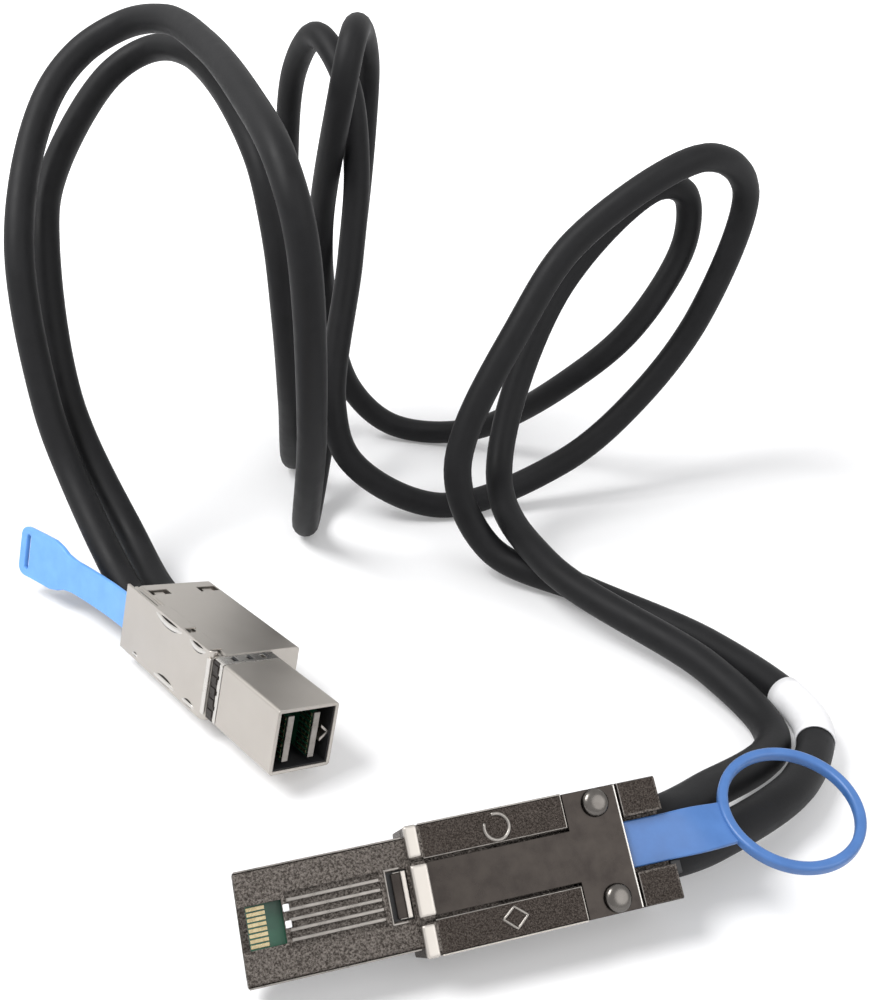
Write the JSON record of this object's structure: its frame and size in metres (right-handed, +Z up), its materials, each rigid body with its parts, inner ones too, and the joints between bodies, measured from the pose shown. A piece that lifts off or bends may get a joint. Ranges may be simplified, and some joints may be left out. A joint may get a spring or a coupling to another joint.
{
  "type": "mini sas cable",
  "caption": "Data cable with twin round cords between two metal latching plugs, one with a flat pull strap and one with a ring pull, lying as a loose standing coil.",
  "frame": {"origin": "on the surface the cable lies on, under the middle of the box around both plugs and their pull tabs", "axes": "+X to the right as pictured, +Y away from the viewer, +Z up"},
  "size_m": [0.1981, 0.2573, 0.1391],
  "materials": {
    "nickel": "satin",
    "cast_nickel": "grained",
    "bright_nickel": "bright",
    "dark_plate": "satin",
    "blue_plastic": "satin",
    "jacket": "satin",
    "label": "matte",
    "board": "glossy",
    "mould": "matte",
    "copper": "satin"
  },
  "bodies": {
    "cable": {"plug_a_housing": "nickel", "plug_a_lid": "nickel", "plug_a_latch_cover": "bright_nickel", "plug_a_ground_spring": "bright_nickel", "plug_a_card_1": "board", "plug_a_card_2": "board", "plug_a_card_holder": "mould", "plug_a_ferrule_1": "bright_nickel", "plug_a_ferrule_2": "bright_nickel", "plug_a_wires_1": "copper", "plug_a_wires_2": "copper", "plug_b_upper_shell": "cast_nickel", "plug_b_lower_shell": "cast_nickel", "plug_b_latch_plate": "dark_plate", "plug_b_latch_hook": "dark_plate", "plug_b_rivet_1": "bright_nickel", "plug_b_rivet_2": "bright_nickel", "plug_b_card": "board", "plug_b_card_holder": "mould", "plug_b_ferrule_1": "bright_nickel", "plug_b_ferrule_2": "bright_nickel", "plug_b_wires_1": "copper", "plug_b_wires_2": "copper", "cord_1": "jacket", "cord_2": "jacket", "label_sleeve": "label"},
    "strap_tab": {"plug_a_pull_tab": "blue_plastic"},
    "ring_tab": {"plug_b_pull_tab": "blue_plastic"}
  },
  "joints": [
    {"name": "strap_tab_pull", "type": "slide", "parent": "cable", "child": "strap_tab", "axis": [-0.6209, 0.7834, -0.0279], "range_m": [0, 0.0025], "stiffness_N_per_m": 300},
    {"name": "ring_tab_pull", "type": "slide", "parent": "cable", "child": "ring_tab", "axis": [0.9619, 0.2722, 0.0262], "range_m": [0, 0.002], "stiffness_N_per_m": 300}
  ]
}
